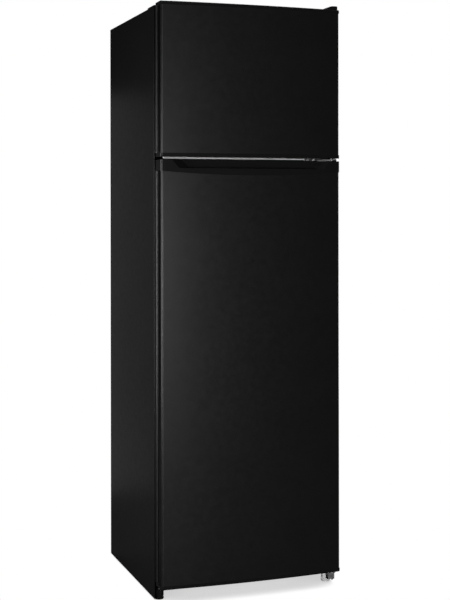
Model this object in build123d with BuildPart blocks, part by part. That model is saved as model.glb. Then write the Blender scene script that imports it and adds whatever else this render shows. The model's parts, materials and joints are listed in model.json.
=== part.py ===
from build123d import *
import os

os.makedirs("parts", exist_ok=True)

# Top freezer refrigerator. Millimetres, +Z up, the front faces -Y, origin under the middle of the whole.

# Cabinet
cabinet_width = 574.0
cabinet_depth = 520.0
cabinet_top = 1748.0
floor_gap = 5.0
sheet = 0.8
front_flange = 36.0
rear_fold = 10.0
base_hem = 6.0
base_height = 52.0

# Liners and insulation
liner_wall = 1.6
liner_corner = 14.0
fridge_wall = 45.0
freezer_wall = 57.0
back_wall = 50.0
freezer_roof = 60.0
fridge_floor = 42.0
divider = 52.0
evaporator_plate = 1.5
evaporator_margin = 40.0
fridge_evaporator_height = 480.0

# Machine compartment at the bottom of the back
machine_depth = 180.0
machine_height = 250.0
machine_wall = 35.0

# Doors
door_split = 1300.0
door_gap = 8.0
door_over_top = 9.0
lower_door_bottom = 46.0
door_edge = 48.0
door_bow = 12.0
door_corner = 6.5
skin_step = 4.0
step_depth = 11.0
bead_round = 3.5
skin_lip = 12.0
cap_height = 11.0
cap_set_in = 2.0
cap_round = 3.0
cap_chamfer = 1.0
seal_gap = 10.0
seal_clearance = 0.3
seal_width = 14.0
seal_base = 3.5
seal_neck = 7.0
seal_edge = 12.0
seal_hinge_gap = 1.0
dike_gap = 16.0
dike_width = 22.0
dike_depth = 42.0
dike_end = 14.0
dike_rim = 1.0

# Handle cap of the lower door and grip of the upper door
handle_edge_height = 33.0
handle_middle_height = 45.0
recess_margin = 41.0
recess_slant = 25.0
recess_draft = 32.0
recess_height = 25.0
recess_depth = 30.0
grip_groove = 13.0
grip_groove_depth = 8.0
grip_end = 10.0

# Hinges
hinge_inset = 18.0
hinge_setback = 22.0
pin_radius = 4.0
pin_clearance = 0.05
pin_reach = 9.0
pin_end_gap = 1.0
collar_radius = 7.0
collar_clearance = 0.3
hinge_plate = 4.0
hinge_eye = 10.0
hinge_arm = 36.0
middle_flange = 2.0
middle_flange_height = 20.0
middle_flange_reach = 77.0
top_plate = 3.0
top_plate_width = 30.0
top_plate_gap = 1.0
top_plate_depth = 52.0
top_plate_start = 8.0
top_hinge_lift = 1.5
screw_head = 5.0
screw_head_height = 2.5
screw_edge = 6.0
leg_width = 21.5
leg_depth = 18.0
leg_height = 25.0
leg_sheet = 2.0
leg_margin = 4.0
leg_gap = 1.0
lip_reach = 12.0
lip_sheet = 2.0

# Hinge cover and trim along the top front edge
cover_wall = 2.0
cover_height = 22.0
cover_width = 42.0
cover_crest = 13.0
cover_drop = 13.5
cover_margin = 5.0
cover_gap = 0.8
cover_round = 3.0
cover_front_round = 2.0
trim_depth = 68.0
trim_height = 2.0

# Front rail and levelling feet
rail_sheet = 2.0
rail_depth = 60.0
rail_web = 34.0
rail_bottom = 16.0
pad_height = 7.0
pad_width = 50.0
foot_inset = 19.0
foot_setback = 17.0
foot_radius = 13.5
foot_height = 34.0
stem_radius = 5.0
stem_clearance = 0.05
stem_end_gap = 1.0
foot_chamfer = 1.6
hinge_foot_gap = 1.0

# Rear base plate, rollers and compressor
plate_level = 36.0
plate_sheet = 2.0
plate_lip = 14.0
roller_radius = 16.0
roller_width = 14.0
roller_chamfer = 1.5
roller_inset = 34.0
roller_setback = 45.0
axle_radius = 3.0
axle_clearance = 0.08
fork_gap = 0.6
compressor_x = -40.0
compressor_setback = 92.0
compressor_length = 172.0
compressor_breadth = 136.0
weld_flange = 4.0
weld_height = 8.0
weld_rise = 82.0
dome_round = 34.0
sump_round = 22.0
grommet_height = 8.0
grommet_radius = 10.0
stud_radius = 3.0
stud_spread = 160.0
stud_depth = 84.0
stud_clearance = 1.0
stud_rise = 6.0
foot_plate = 2.5
foot_plate_margin = 20.0
stub_length = 15.0
tray_length = 170.0
tray_breadth = 118.0
tray_height = 28.0
tray_headroom = 22.0
tray_wall = 2.0
tray_round = 10.0
drain_radius = 8.0
drain_wall = 1.5
drain_end_gap = 14.0
starter_depth = 36.0
starter_width = 60.0
starter_height = 60.0
starter_rise = 30.0
starter_round = 3.0
gland_radius = 6.0
gland_length = 12.0
gland_bore = 3.0

# Condenser on the back
rear_reach = 35.0
condenser_offset = 22.0
tube_radius = 2.5
tube_bend = 25.0
run_pitch = 60.0
run_count = 17
top_run = 1500.0
run_margin = 75.0
riser_margin = 48.0
discharge_rise = 56.0
suction_rise = 102.0
wire_radius = 0.8
wire_pitch = 20.0
wire_overhang = 20.0
wire_clearance = 0.05
clip_width = 14.0
clip_height = 24.0
clip_x = 150.0
drier_radius = 8.0
drier_length = 90.0
drier_top = 185.0
drier_round = 4.0
suction_radius = 4.0
suction_x = -185.0
suction_bend = 12.0
capillary_radius = 1.5
capillary_drop = 14.0
capillary_bend = 6.0

# Shelves, drawers, bins and controls
shelf_count = 3
crisper_rise = 15.0
shelf_glass = 4.0
shelf_front_setback = 122.0
shelf_back_gap = 8.0
shelf_side_gap = 1.5
rib_depth = 9.0
rib_height = 7.0
trim_face = 4.0
trim_lip = 10.0
trim_rise = 4.0
rib_clearance = 2.0
drawer_wall = 2.5
drawer_gap = 4.0
drawer_rest = 0.3
drawer_headroom = 10.0
drawer_round = 12.0
drawer_pull = 9.0
drawer_pull_height = 14.0
shelf_wire = 4.0
shelf_wire_count = 17
bin_wall = 2.5
bin_depth = 84.0
bin_round = 16.0
bin_side_gap = 0.5
lug_width = 7.0
lug_height = 6.0
lug_depth = 30.0
bottle_bin_gap = 42.0
bottle_bin_height = 110.0
bin_height = 72.0
freezer_bin_gap = 24.0
freezer_bin_height = 60.0
control_left = 60.0
control_side_gap = 2.0
control_height = 55.0
control_setback = 52.0
control_depth = 190.0
control_wall = 2.0
control_round = 4.0
lens_length = 120.0
lens_width = 60.0
lens_edge = 3.0
lens_round = 1.5
knob_radius = 18.0
knob_height = 14.0
knob_round = 3.5
knob_grip = 9.0
knob_shaft = 4.0
knob_clearance = 0.08
knob_offset = 70.0
switch_radius = 4.0
switch_clearance = 0.08
switch_drop = 12.0
switch_stem = 20.0
switch_round = 2.0

# Worked out from the sizes above
half_width = cabinet_width / 2
total_depth = door_bow + door_edge + seal_gap + cabinet_depth + rear_reach
cabinet_front = -total_depth / 2 + door_bow + door_edge + seal_gap
cabinet_back = cabinet_front + cabinet_depth
door_back = cabinet_front - seal_gap
door_edge_front = door_back - door_edge
door_apex = door_edge_front - door_bow
door_liner_back = door_back - sheet
upper_bottom = door_split + door_gap / 2
upper_top = cabinet_top + door_over_top
lower_top = door_split - door_gap / 2
bend_radius = 2 * sheet
flange_inner = half_width - front_flange
shell_inner = half_width - sheet
frame_back = cabinet_front + sheet
foam_front = frame_back + liner_wall
inner_back = cabinet_back - back_wall
fridge_half = half_width - fridge_wall
freezer_half = half_width - freezer_wall
fridge_low = base_height + fridge_floor
fridge_high = door_split - divider / 2
freezer_low = door_split + divider / 2
freezer_high = cabinet_top - freezer_roof
machine_front = cabinet_back - machine_depth
step_front = machine_front - machine_wall
step_top = machine_height + machine_wall
hinge_x = half_width - hinge_inset
hinge_y = door_back - hinge_setback
bore_radius = pin_radius + pin_clearance
skin_half = half_width - skin_step
cap_half = half_width - cap_set_in
step_y = door_back - step_depth
seal_half = hinge_x - seal_hinge_gap
compressor_y = cabinet_back - compressor_setback
plate_top = plate_level + plate_sheet
shell_bottom = plate_top + grommet_height + foot_plate
compressor_height = machine_height - sheet - tray_headroom - tray_height - shell_bottom
shell_top = shell_bottom + compressor_height
discharge_level = shell_bottom + discharge_rise
suction_level = shell_bottom + suction_rise
condenser_y = cabinet_back + condenser_offset
run_half = half_width - run_margin
bottom_run = top_run - run_pitch * (run_count - 1)
foot_x = half_width - foot_inset
foot_y = cabinet_front + foot_setback
rail_top = base_height - sheet
pad_bottom = rail_top - rail_sheet - pad_height
roller_x = half_width - roller_inset
roller_y = cabinet_back - roller_setback
shelf_front = cabinet_front + shelf_front_setback
shelf_back = inner_back - shelf_back_gap
shelf_half = fridge_half - shelf_side_gap
control_front = cabinet_front + control_setback
control_bottom = fridge_high - control_height
crisper_level = step_top + crisper_rise
shelf_pitch = (control_bottom - crisper_level) / (shelf_count + 1)
shelf_levels = [crisper_level + shelf_pitch * (i + 1) for i in range(shelf_count)]
wire_shelf_level = (freezer_low + freezer_high) / 2
control_right = fridge_half - liner_corner - control_side_gap
switch_x = fridge_half - dike_gap - dike_width / 2


def save(built, name):
    """Label a finished piece and write it."""
    built.part.label = name
    export_step(built.part, f"parts/{name}.step")


def block(x0, x1, y0, y1, z0, z1, mode=Mode.ADD):
    """Box between two opposite corners."""
    with Locations(((x0 + x1) / 2, (y0 + y1) / 2, (z0 + z1) / 2)):
        Box(abs(x1 - x0), abs(y1 - y0), abs(z1 - z0), mode=mode)


def post(x, y, z0, z1, radius, mode=Mode.ADD):
    """Upright round post, or bore when it subtracts."""
    with Locations((x, y, (z0 + z1) / 2)):
        Cylinder(radius, abs(z1 - z0), mode=mode)


def rod_along_x(x0, x1, y, z, radius, mode=Mode.ADD):
    """Round rod from side to side, or bore when it subtracts."""
    with Locations(((x0 + x1) / 2, y, z)):
        Cylinder(radius, abs(x1 - x0), rotation=(0, 90, 0), mode=mode)


def rod_along_y(x, y0, y1, z, radius, mode=Mode.ADD):
    """Round rod from front to back, or bore when it subtracts."""
    with Locations((x, (y0 + y1) / 2, z)):
        Cylinder(radius, abs(y1 - y0), rotation=(90, 0, 0), mode=mode)


# Outer panels
def make_side_panel(name, side):
    """Side panel with folded front and back edges; side is -1 on the left and 1 on the right."""
    outer = side * half_width
    with BuildPart() as panel:
        block(outer, side * shell_inner, cabinet_front, cabinet_back, floor_gap, cabinet_top - sheet)
        block(outer, side * flange_inner, cabinet_front, frame_back, base_height, cabinet_top - sheet)
        block(outer, side * (half_width - base_hem), cabinet_front, frame_back, floor_gap, base_height)
        rear_inner = side * (half_width - rear_fold)
        block(outer, rear_inner, cabinet_back - sheet, cabinet_back, floor_gap, cabinet_top - sheet)
        front_edges = panel.edges().filter_by(Axis.Z).group_by(Axis.Y)[0]
        fillet(front_edges.sort_by(Axis.X)[0 if side < 0 else -1], bend_radius)
    save(panel, name)


make_side_panel("left_side_panel", -1)
make_side_panel("right_side_panel", 1)

with BuildPart() as top_panel:
    block(-half_width, half_width, cabinet_front, cabinet_back, cabinet_top - sheet, cabinet_top)
    fold_bottom = cabinet_top - front_flange
    block(-flange_inner, flange_inner, cabinet_front, frame_back, fold_bottom, cabinet_top - sheet)
    fold_half = half_width - rear_fold
    fold_low = cabinet_top - rear_fold
    fold_front = cabinet_back - sheet
    block(-fold_half, fold_half, fold_front, cabinet_back, fold_low, cabinet_top - sheet)
save(top_panel, "top_panel")

with BuildPart() as back_panel:
    panel_half = half_width - rear_fold
    panel_top = cabinet_top - rear_fold
    block(-panel_half, panel_half, cabinet_back - sheet, cabinet_back, machine_height, panel_top)
save(back_panel, "back_panel")

with BuildPart() as bottom_panel:
    block(-shell_inner, shell_inner, frame_back, machine_front + sheet, base_height - sheet, base_height)
    block(-shell_inner, shell_inner, machine_front, machine_front + sheet, base_height, machine_height)
    ceiling = machine_height - sheet
    block(-shell_inner, shell_inner, machine_front, cabinet_back - sheet, ceiling, machine_height)
    flange_bottom = base_height - sheet
    flange_top = base_height + front_flange
    block(-flange_inner, flange_inner, cabinet_front, frame_back, flange_bottom, flange_top)
    post(compressor_x, compressor_y, ceiling, machine_height, drain_radius, Mode.SUBTRACT)
save(bottom_panel, "bottom_panel")

with BuildPart() as divider_bar:
    block(-flange_inner, flange_inner, cabinet_front, frame_back, fridge_high, freezer_low)
save(divider_bar, "divider_bar")

with BuildPart() as top_trim:
    trim_right = half_width - cover_margin - cover_width - cover_gap
    trim_left = -half_width + cap_set_in
    trim_top = cabinet_top + trim_height
    block(trim_left, trim_right, cabinet_front, cabinet_front + trim_depth, cabinet_top, trim_top)
    chamfer(top_trim.faces().sort_by(Axis.Z)[-1].edges(), trim_height / 2)
save(top_trim, "top_trim")


# Insulation and liners
def freezer_box(grow, front, mode):
    """Freezer space, made larger by a wall."""
    top = freezer_high + grow
    half = freezer_half + grow
    block(-half, half, front, inner_back + grow, freezer_low - grow, top, mode)


def fridge_box(grow, front, mode):
    """Fridge space with the step over the machine compartment, made larger by a wall."""
    half = fridge_half + grow
    block(-half, half, front, step_front + grow, fridge_low - grow, fridge_high + grow, mode)
    block(-half, half, front, inner_back + grow, step_top - grow, fridge_high + grow, mode)


def evaporator_blocks(mode):
    """Plates on the back of each liner."""
    back = inner_back + liner_wall
    freezer_edge = freezer_half - evaporator_margin
    low = freezer_low + evaporator_margin
    high = freezer_high - evaporator_margin
    block(-freezer_edge, freezer_edge, back, back + evaporator_plate, low, high, mode)
    fridge_edge = fridge_half - evaporator_margin
    high = fridge_high - evaporator_margin
    low = high - fridge_evaporator_height
    block(-fridge_edge, fridge_edge, back, back + evaporator_plate, low, high, mode)


with BuildPart() as cabinet_insulation:
    block(-shell_inner, shell_inner, foam_front, cabinet_back - sheet, base_height, cabinet_top - sheet)
    block(-shell_inner, shell_inner, machine_front, cabinet_back, base_height, machine_height, Mode.SUBTRACT)
    freezer_box(liner_wall, foam_front, Mode.SUBTRACT)
    fridge_box(liner_wall, foam_front, Mode.SUBTRACT)
    evaporator_blocks(Mode.SUBTRACT)
    post(compressor_x, compressor_y, machine_height, step_top, drain_radius, Mode.SUBTRACT)
save(cabinet_insulation, "cabinet_insulation")

with BuildPart() as evaporator_plates:
    evaporator_blocks(Mode.ADD)
save(evaporator_plates, "evaporator_plates")


def rounded_cut(half, low, high, front, back):
    """Cut a space with rounded corners, seen from the front, from front to back."""
    with BuildSketch(Plane.XZ.offset(-front)) as opening:
        with Locations((0, (low + high) / 2)):
            RectangleRounded(2 * half, high - low, liner_corner)
    extrude(opening.sketch, amount=front - back, mode=Mode.SUBTRACT)


def wall_ribs(half, level, front, back):
    """Ledge on both side walls, under one shelf."""
    for side in (-1, 1):
        block(side * half, side * (half - rib_depth), front, back, level - rib_height, level)


rib_front = shelf_front + trim_lip + rib_clearance

with BuildPart() as freezer_liner:
    block(-shell_inner, shell_inner, frame_back, foam_front, door_split, cabinet_top - sheet)
    freezer_box(liner_wall, foam_front, Mode.ADD)
    rounded_cut(freezer_half, freezer_low, freezer_high, frame_back, inner_back)
    wall_ribs(freezer_half, wire_shelf_level, rib_front, shelf_back)
save(freezer_liner, "freezer_liner")

with BuildPart() as fridge_liner:
    block(-shell_inner, shell_inner, frame_back, foam_front, base_height, door_split)
    fridge_box(liner_wall, foam_front, Mode.ADD)
    rounded_cut(fridge_half, fridge_low, fridge_high, frame_back, step_front)
    rounded_cut(fridge_half, step_top, fridge_high, frame_back, inner_back)
    for level in [crisper_level] + shelf_levels:
        wall_ribs(fridge_half, level, rib_front, shelf_back)
    drain_bore = drain_radius - drain_wall
    post(compressor_x, compressor_y, step_top - liner_wall, step_top, drain_bore, Mode.SUBTRACT)
save(fridge_liner, "fridge_liner")


# Doors
def bowed_plan(half, inset, back):
    """Plan of a door with a bowed front and rounded front corners, drawn in by an inset."""
    edge = half - inset
    with BuildSketch() as plan:
        with BuildLine() as outline:
            left = (-edge, door_edge_front + inset)
            right = (edge, door_edge_front + inset)
            ThreePointArc(left, (0, door_apex + inset), right)
            Polyline(right, (edge, back), (-edge, back), left)
        make_face(outline.edges())
        fillet(plan.vertices().group_by(Axis.Y)[0], door_corner - inset)
    return plan.sketch


def skin_plan(inset, back):
    """Plan of the steel skin: the bowed front and the wider bead along the back edges."""
    with BuildSketch() as plan:
        add(bowed_plan(skin_half, inset, back))
        front = step_y + inset
        with BuildSketch(mode=Mode.PRIVATE) as bead:
            with Locations((0, (front + back) / 2)):
                Rectangle(2 * (half_width - inset), back - front)
            fillet(bead.vertices().group_by(Axis.Y)[0], bead_round - inset)
        add(bead.sketch)
    return plan.sketch


def dike_blocks(half, low, high, shrink, front, mode):
    """Upright ridges on the inside of a door, or their foam cores when shrunk by a wall."""
    outer = half - dike_gap
    inner = outer - dike_width
    back = door_liner_back + dike_depth - shrink
    for side in (-1, 1):
        x0 = side * (inner + shrink)
        x1 = side * (outer - shrink)
        block(x0, x1, front, back, low + shrink, high - shrink, mode)


def make_door_foam(name, low, high, half, ridge_low, ridge_high, above=None):
    """Foam core of a door; above is the space that the handle cap takes."""
    liner_front = door_liner_back - liner_wall
    with BuildPart() as foam:
        with BuildSketch(Plane.XY.offset(low)) as section:
            add(skin_plan(sheet, liner_front))
        extrude(section.sketch, amount=high - low)
        if above:
            add(above, mode=Mode.SUBTRACT)
        dike_blocks(half, ridge_low, ridge_high, liner_wall, liner_front, Mode.ADD)
    save(foam, name)


def make_door_skin(name, low, high, above=None):
    """Bent steel skin: bowed front, sides and a lip along the back edges."""
    with BuildPart() as skin:
        with BuildSketch(Plane.XY.offset(low)) as section:
            add(skin_plan(0, door_back))
            add(skin_plan(sheet, door_liner_back), mode=Mode.SUBTRACT)
            opening = 2 * (half_width - skin_lip)
            with Locations((0, door_back)):
                Rectangle(opening, 2 * sheet, mode=Mode.SUBTRACT)
        extrude(section.sketch, amount=high - low)
        if above:
            add(above, mode=Mode.SUBTRACT)
    save(skin, name)


def make_door_liner(name, low, high, half, ridge_low, ridge_high, bin_levels, above=None):
    """Inner panel of a door with its ridges and the lugs that carry the bins."""
    liner_front = door_liner_back - liner_wall
    inner = half - dike_gap - dike_width
    with BuildPart() as liner:
        block(-shell_inner, shell_inner, liner_front, door_liner_back, low, high)
        if above:
            add(above, mode=Mode.SUBTRACT)
        dike_blocks(half, ridge_low, ridge_high, 0, door_liner_back, Mode.ADD)
        dike_blocks(half, ridge_low, ridge_high, liner_wall, liner_front, Mode.SUBTRACT)
        for level in bin_levels:
            for side in (-1, 1):
                lug_end = door_liner_back + lug_depth
                lug_inner = side * (inner - lug_width)
                block(side * inner, lug_inner, door_liner_back, lug_end, level - lug_height, level)
    save(liner, name)


def make_seal(name, low, high):
    """Door seal: base strip, narrow bellows and magnet strip, each a closed frame."""
    face = cabinet_front - seal_clearance
    tip = face - seal_base
    waist = (seal_width - seal_neck) / 2
    depths = ((door_liner_back, door_liner_back + seal_base, 0),
              (door_liner_back + seal_base, tip, waist), (tip, face, 0))
    with BuildPart() as seal:
        for start, end, inset in depths:
            outer = seal_half - inset
            inner = seal_half - seal_width + inset
            block(-outer, outer, start, end, low + inset, high - inset)
            hole_low = low + seal_width - inset
            hole_high = high - seal_width + inset
            block(-inner, inner, start, end, hole_low, hole_high, Mode.SUBTRACT)
    save(seal, name)


def make_bin(name, level, half, height):
    """Door bin with rounded inner corners, open at the top."""
    length = 2 * (half - dike_gap - dike_width - bin_side_gap)
    middle_y = door_liner_back + bin_depth / 2
    with BuildPart() as door_bin:
        with BuildSketch(Plane.XY.offset(level)) as outside:
            with Locations((0, middle_y)):
                Rectangle(length, bin_depth)
            fillet(outside.vertices().group_by(Axis.Y)[-1], bin_round)
        extrude(outside.sketch, amount=height)
        with BuildSketch(Plane.XY.offset(level + bin_wall)) as inside:
            with Locations((0, middle_y)):
                Rectangle(length - 2 * bin_wall, bin_depth - 2 * bin_wall)
            fillet(inside.vertices().group_by(Axis.Y)[-1], bin_round - bin_wall)
        extrude(inside.sketch, amount=height, mode=Mode.SUBTRACT)
    save(door_bin, name)


# Upper door
upper_low = upper_bottom + cap_height
upper_high = upper_top - cap_height
freezer_ridge_low = freezer_low + dike_end
freezer_ridge_high = freezer_high - dike_end
freezer_bin_low = freezer_ridge_low + freezer_bin_gap
freezer_bin_levels = [freezer_bin_low, (freezer_bin_low + freezer_ridge_high) / 2]
make_door_skin("freezer_door_skin", upper_low, upper_high)
make_door_foam("freezer_door_foam", upper_low, upper_high, freezer_half, freezer_ridge_low,
               freezer_ridge_high)
make_door_liner("freezer_door_liner", upper_low, upper_high, freezer_half, freezer_ridge_low,
                freezer_ridge_high, freezer_bin_levels)
make_seal("freezer_door_seal", upper_bottom + seal_edge, cabinet_top - seal_edge)
for bin_name, bin_level in zip(("freezer_bin_lower", "freezer_bin_upper"), freezer_bin_levels):
    make_bin(bin_name, bin_level, freezer_half, freezer_bin_height)

with BuildPart() as freezer_door_top_cap:
    with BuildSketch(Plane.XY.offset(upper_high)) as cap_section:
        add(bowed_plan(cap_half, 0, door_liner_back))
    extrude(cap_section.sketch, amount=cap_height)
    fillet(freezer_door_top_cap.faces().sort_by(Axis.Z)[-1].edges(), cap_round)
    post(hinge_x, hinge_y, upper_top - pin_reach - top_hinge_lift, upper_top, bore_radius, Mode.SUBTRACT)
save(freezer_door_top_cap, "freezer_door_top_cap")

recess_top = half_width - recess_margin
grip_half = recess_top - recess_slant - recess_draft
grip_front = door_apex + recess_depth - grip_groove

with BuildPart() as freezer_door_bottom_cap:
    with BuildSketch(Plane.XY.offset(upper_bottom)) as cap_section:
        add(bowed_plan(cap_half, 0, door_liner_back))
    extrude(cap_section.sketch, amount=cap_height)
    chamfer(freezer_door_bottom_cap.faces().sort_by(Axis.Z)[0].edges(), cap_chamfer)
    groove_half = grip_half - grip_end
    groove_top = upper_bottom + grip_groove_depth
    groove_back = grip_front + grip_groove
    block(-groove_half, groove_half, grip_front, groove_back, upper_bottom, groove_top, Mode.SUBTRACT)
    post(hinge_x, hinge_y, upper_bottom, upper_bottom + pin_reach, bore_radius, Mode.SUBTRACT)
save(freezer_door_bottom_cap, "freezer_door_bottom_cap")

# Lower door
lower_low = lower_door_bottom + cap_height
handle_edge = lower_top - handle_edge_height
handle_middle = lower_top - handle_middle_height
fridge_ridge_low = fridge_low + dike_end
fridge_ridge_high = handle_middle - dike_rim

with BuildPart() as handle_space:
    with BuildSketch(Plane.XZ.offset(-door_back)) as front_view:
        with BuildLine() as outline:
            ThreePointArc((-half_width, handle_edge), (0, handle_middle), (half_width, handle_edge))
            Polyline((half_width, handle_edge), (half_width, lower_top),
                     (-half_width, lower_top), (-half_width, handle_edge))
        make_face(outline.edges())
    extrude(front_view.sketch, amount=door_edge + door_bow)

make_door_skin("fridge_door_skin", lower_low, handle_edge, handle_space.part)
make_door_foam("fridge_door_foam", lower_low, handle_edge, fridge_half, fridge_ridge_low,
               fridge_ridge_high, handle_space.part)
fridge_bins = {"bottle_bin": bottle_bin_height, "middle_bin": bin_height, "upper_bin": bin_height}
bottle_bin_level = fridge_ridge_low + bottle_bin_gap
bin_pitch = (fridge_ridge_high - bottle_bin_level) / len(fridge_bins)
fridge_bin_levels = [bottle_bin_level + bin_pitch * i for i in range(len(fridge_bins))]
make_door_liner("fridge_door_liner", lower_low, handle_edge, fridge_half, fridge_ridge_low,
                fridge_ridge_high, fridge_bin_levels, handle_space.part)
make_seal("fridge_door_seal", lower_door_bottom + seal_edge, lower_top - seal_edge)
for bin_name, bin_level in zip(fridge_bins, fridge_bin_levels):
    make_bin(bin_name, bin_level, fridge_half, fridge_bins[bin_name])

with BuildPart() as fridge_door_bottom_cap:
    with BuildSketch(Plane.XY.offset(lower_door_bottom)) as cap_section:
        add(bowed_plan(cap_half, 0, door_liner_back))
    extrude(cap_section.sketch, amount=cap_height)
    fillet(fridge_door_bottom_cap.faces().sort_by(Axis.Z)[0].edges(), cap_round)
    post(hinge_x, hinge_y, lower_door_bottom, lower_door_bottom + pin_reach, bore_radius, Mode.SUBTRACT)
save(fridge_door_bottom_cap, "fridge_door_bottom_cap")


def scoop_face(y, widen):
    """Outline of the finger recess at one depth; its ends widen towards the front."""
    top = recess_top - recess_draft + widen
    low = grip_half + widen
    with BuildSketch(Plane.XZ.offset(-y)) as face:
        with BuildLine() as outline:
            Polyline((-top, lower_top), (top, lower_top), (low, recess_floor),
                     (-low, recess_floor), close=True)
        make_face(outline.edges())
    return face.sketch


with BuildPart() as handle_cap:
    with BuildSketch(Plane.XY.offset(handle_middle)) as cap_section:
        add(bowed_plan(cap_half, 0, door_liner_back))
    extrude(cap_section.sketch, amount=handle_middle_height)
    add(handle_space.part, mode=Mode.INTERSECT)
    chamfer(handle_cap.faces().sort_by(Axis.Z)[-1].edges(), cap_chamfer)
    recess_floor = lower_top - recess_height
    recess_back = door_apex + recess_depth
    front_widening = recess_draft * recess_depth / (recess_depth - door_bow)
    loft([scoop_face(recess_back, 0), scoop_face(door_apex, front_widening)], mode=Mode.SUBTRACT)
    groove_floor = recess_floor - grip_groove_depth
    block(-groove_half, groove_half, grip_front, recess_back, groove_floor, recess_floor, Mode.SUBTRACT)
    post(hinge_x, hinge_y, lower_top - pin_reach, lower_top, bore_radius, Mode.SUBTRACT)
save(handle_cap, "handle_cap")


# Hinges
def collar(z_plate, z_door, radius=collar_radius):
    """Spacer round a hinge pin, just short of the door."""
    gap = collar_clearance if z_door > z_plate else -collar_clearance
    post(hinge_x, hinge_y, z_plate, z_door - gap, radius)


pin_tip = pin_reach - pin_end_gap

with BuildPart() as middle_hinge:
    plate_low = door_split - hinge_plate / 2
    plate_high = door_split + hinge_plate / 2
    with BuildSketch(Plane.XY.offset(plate_low)) as arm:
        with Locations((hinge_x, hinge_y)):
            Circle(hinge_eye)
        arm_x = half_width - front_flange / 2 - hinge_arm / 2
        with Locations((arm_x, cabinet_front - middle_flange / 2)):
            Rectangle(hinge_arm, middle_flange)
        make_hull()
    extrude(arm.sketch, amount=hinge_plate)
    lip_right = hinge_x + lip_reach
    lip_left = lip_right - lip_sheet
    lip_front = hinge_y - hinge_eye
    lip_low = lower_top + collar_clearance
    lip_high = upper_bottom - collar_clearance
    block(hinge_x, lip_right, lip_front, cabinet_front, plate_low, plate_high)
    block(lip_left, lip_right, lip_front, cabinet_front, lip_low, lip_high)
    flange_right = arm_x + hinge_arm / 2
    flange_left = flange_right - middle_flange_reach
    flange_low = door_split - middle_flange_height / 2
    flange_high = door_split + middle_flange_height / 2
    flange_front = cabinet_front - middle_flange
    block(flange_left, flange_right, flange_front, cabinet_front, flange_low, flange_high)
    collar(plate_high, upper_bottom)
    collar(plate_low, lower_top)
    post(hinge_x, hinge_y, plate_high, upper_bottom + pin_tip, pin_radius)
    post(hinge_x, hinge_y, lower_top - pin_tip, plate_low, pin_radius)
save(middle_hinge, "middle_hinge")

with BuildPart() as bottom_hinge:
    with BuildSketch(Plane.XY.offset(pad_bottom - hinge_plate)) as arm:
        with Locations((hinge_x, hinge_y)):
            Circle(hinge_eye)
        pad_right = half_width - base_hem - collar_clearance
        pad_left = pad_right - pad_width
        pad_back = cabinet_front + rail_web
        with Locations(((pad_left + pad_right) / 2, (cabinet_front + pad_back) / 2)):
            Rectangle(pad_width, rail_web)
        make_hull()
        with Locations((foot_x, foot_y)):
            Circle(stem_radius + hinge_foot_gap, mode=Mode.SUBTRACT)
    extrude(arm.sketch, amount=hinge_plate)
    leg_top = pad_bottom - hinge_plate
    leg_low = leg_top - leg_height
    leg_right = half_width - leg_margin
    leg_left = leg_right - leg_width
    leg_front = cabinet_front - leg_depth
    leg_back = cabinet_front - leg_gap
    block(leg_left, leg_right, leg_front, leg_back, leg_top, pad_bottom)
    block(leg_left, leg_right, leg_front, leg_front + leg_sheet, leg_low, leg_top)
    for x0 in (leg_left, leg_right - leg_sheet):
        block(x0, x0 + leg_sheet, leg_front, leg_back, leg_low, leg_top)
    collar(pad_bottom, lower_door_bottom)
    post(hinge_x, hinge_y, pad_bottom, lower_door_bottom + pin_tip, pin_radius)
save(bottom_hinge, "bottom_hinge")

top_arm_low = upper_top + top_hinge_lift
cover_right = half_width - cover_margin
cover_left = cover_right - cover_width
top_plate_right = cover_right - cover_wall - top_plate_gap
top_plate_left = top_plate_right - top_plate_width
top_plate_front = cabinet_front + top_plate_start

with BuildPart() as top_hinge:
    plate_back = top_plate_front + top_plate_depth
    block(top_plate_left, top_plate_right, top_plate_front, plate_back, cabinet_top, cabinet_top + top_plate)
    riser_back = top_plate_front + top_plate
    arm_top = top_arm_low + top_plate
    block(top_plate_left, top_plate_right, top_plate_front, riser_back, cabinet_top, arm_top)
    with BuildSketch(Plane.XY.offset(top_arm_low)) as arm:
        with Locations((hinge_x, hinge_y)):
            Circle(hinge_eye)
        with Locations(((top_plate_left + top_plate_right) / 2, (top_plate_front + riser_back) / 2)):
            Rectangle(top_plate_width, top_plate)
        make_hull()
    extrude(arm.sketch, amount=top_plate)
    collar(top_arm_low, upper_top)
    post(hinge_x, hinge_y, upper_top - pin_tip, top_arm_low, pin_radius)
save(top_hinge, "top_hinge")

cover_top = cabinet_top + cover_height


def hump_face(y, low, inset):
    """Front view of the hinge cover from a level up, drawn in by its wall for the hollow."""
    left = cover_left + inset
    right = cover_right - inset
    top = cover_top - inset
    crest = (cover_right - cover_crest, top)
    shoulder = (left, cover_top - cover_drop)
    with BuildSketch(Plane.XZ.offset(-y)) as face:
        with BuildLine() as outline:
            TangentArc(crest, shoulder, tangent=(-1, 0))
            Polyline(shoulder, (left, cabinet_top), (right, cabinet_top), (right, top), crest)
        make_face(outline.edges())
        fillet(face.vertices().group_by(Axis.Y)[-1].sort_by(Axis.X)[-1], cover_round - inset)
        with Locations((0, low - cover_height)):
            Rectangle(2 * half_width, 2 * cover_height, mode=Mode.SUBTRACT)
    return face.sketch


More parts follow.
